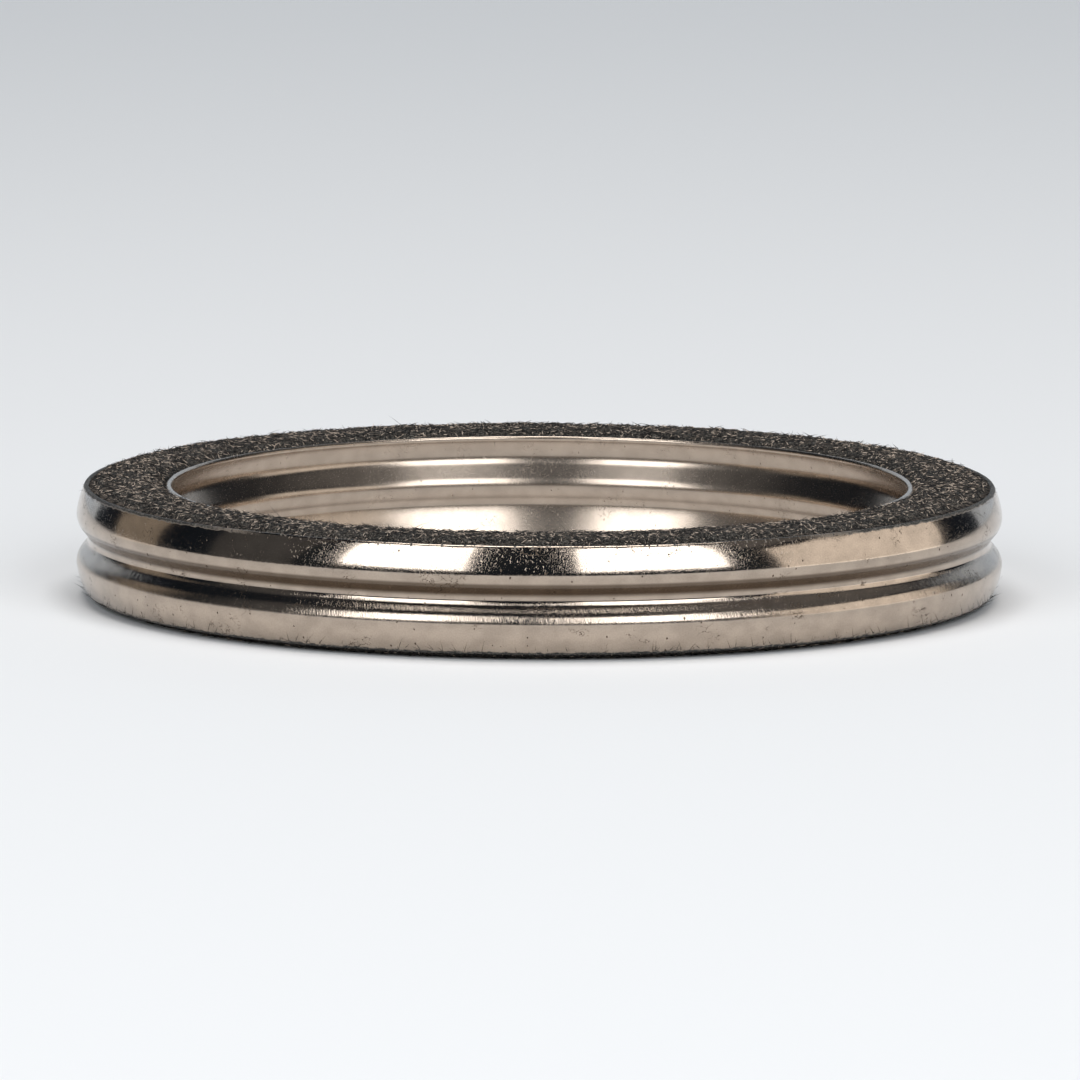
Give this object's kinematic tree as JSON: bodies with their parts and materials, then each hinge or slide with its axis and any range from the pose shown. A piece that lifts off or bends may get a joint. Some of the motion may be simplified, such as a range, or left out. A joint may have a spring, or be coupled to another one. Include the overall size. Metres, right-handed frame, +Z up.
{
  "type": "muffler gasket",
  "caption": "Round exhaust gasket: a pressed fibre ring held between two thin beaded steel bands, with lips round the bore.",
  "frame": {"origin": "middle of the lower fibre face, on the ring's axis", "axes": "+Z runs up the ring's axis; X and Y lie in the flat of the ring and are interchangeable"},
  "size_m": [0.0414, 0.0414, 0.0053],
  "materials": {
    "band_steel": "bright rolled, lightly scratched and pitted",
    "pressed_fibre": "dark, matte and fuzzy"
  },
  "bodies": {
    "root": {"outer_band": "band_steel", "inner_band": "band_steel", "fibre_ring": "pressed_fibre"}
  },
  "joints": []
}
